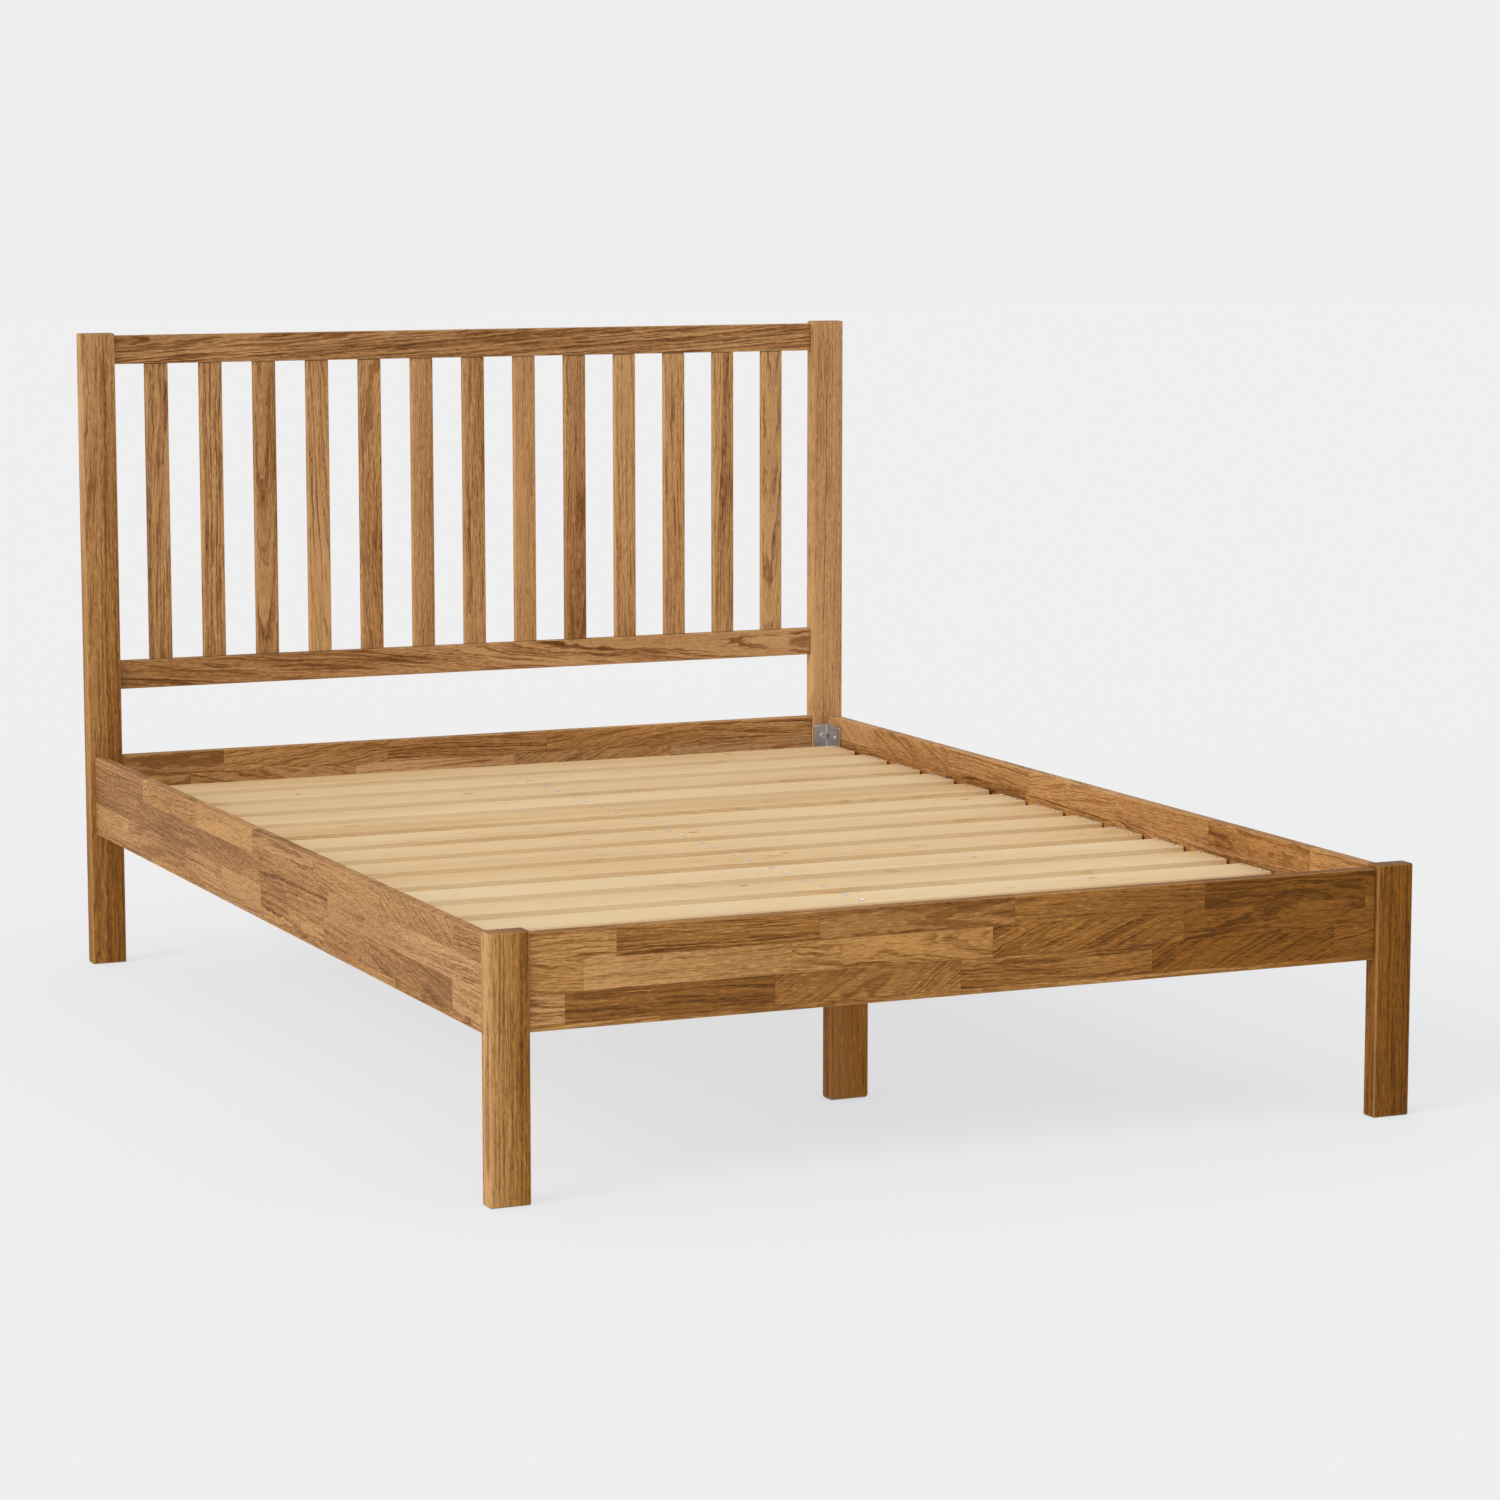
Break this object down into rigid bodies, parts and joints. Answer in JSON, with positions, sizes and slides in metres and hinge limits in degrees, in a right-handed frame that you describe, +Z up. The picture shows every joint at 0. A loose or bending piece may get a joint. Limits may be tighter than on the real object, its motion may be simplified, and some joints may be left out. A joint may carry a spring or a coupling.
{
  "type": "bed frame",
  "caption": "Oak bed frame with a slatted headboard, low foot rail, stave side rails and a slatted base on a centre rail; holds a double mattress.",
  "frame": {"origin": "on the floor, at the middle of the bed's width and length", "axes": "+X across the bed, to the right seen from the foot end; +Y along the bed from the foot end to the headboard; +Z up"},
  "size_m": [1.44, 1.99, 1.095],
  "materials": {
    "oak_post": "satin lacquered solid oak, straight grain along the post",
    "oak_headboard_rail": "satin lacquered solid oak, grain along the rail",
    "oak_headboard_slat": "satin lacquered solid oak, each slat a little lighter or darker",
    "oak_stave_board": "satin lacquered oak board glued up from short staves of mixed tone",
    "oak_centre_leg": "satin lacquered oak",
    "pine_batten": "planed unfinished pine",
    "pine_base_slat": "planed unfinished pine with small knots",
    "zinc_plate": "zinc plated pressed steel",
    "zinc_bolt": "zinc plated steel"
  },
  "bodies": {
    "root": {"head_post_left": "oak_post", "head_post_right": "oak_post", "foot_leg_left": "oak_post", "foot_leg_right": "oak_post", "headboard_top_rail": "oak_headboard_rail", "headboard_lower_rail": "oak_headboard_rail", "headboard_slat_01": "oak_headboard_slat", "headboard_slat_02": "oak_headboard_slat", "headboard_slat_03": "oak_headboard_slat", "headboard_slat_04": "oak_headboard_slat", "headboard_slat_05": "oak_headboard_slat", "headboard_slat_06": "oak_headboard_slat", "headboard_slat_07": "oak_headboard_slat", "headboard_slat_08": "oak_headboard_slat", "headboard_slat_09": "oak_headboard_slat", "headboard_slat_10": "oak_headboard_slat", "headboard_slat_11": "oak_headboard_slat", "headboard_slat_12": "oak_headboard_slat", "headboard_slat_13": "oak_headboard_slat", "side_rail_left": "oak_stave_board", "side_rail_right": "oak_stave_board", "foot_rail": "oak_stave_board", "head_cross_rail": "oak_stave_board", "centre_leg_foot": "oak_centre_leg", "centre_leg_head": "oak_centre_leg", "ledger_left": "pine_batten", "ledger_right": "pine_batten", "centre_rail": "pine_batten", "base_slat_01": "pine_base_slat", "base_slat_02": "pine_base_slat", "base_slat_03": "pine_base_slat", "base_slat_04": "pine_base_slat", "base_slat_05": "pine_base_slat", "base_slat_06": "pine_base_slat", "base_slat_07": "pine_base_slat", "base_slat_08": "pine_base_slat", "base_slat_09": "pine_base_slat", "base_slat_10": "pine_base_slat", "base_slat_11": "pine_base_slat", "base_slat_12": "pine_base_slat", "base_slat_13": "pine_base_slat", "base_slat_14": "pine_base_slat", "corner_bracket_foot_left": "zinc_plate", "corner_bracket_foot_right": "zinc_plate", "corner_bracket_head_left": "zinc_plate", "corner_bracket_head_right": "zinc_plate", "centre_hanger_foot": "zinc_plate", "centre_hanger_head": "zinc_plate", "corner_bolt_foot_left_lower": "zinc_bolt", "corner_bolt_foot_left_upper": "zinc_bolt", "corner_bolt_foot_right_lower": "zinc_bolt", "corner_bolt_foot_right_upper": "zinc_bolt", "corner_bolt_head_left_lower": "zinc_bolt", "corner_bolt_head_left_upper": "zinc_bolt", "corner_bolt_head_right_lower": "zinc_bolt", "corner_bolt_head_right_upper": "zinc_bolt", "centre_leg_bolt_foot": "zinc_bolt", "centre_leg_bolt_head": "zinc_bolt"}
  },
  "joints": []
}
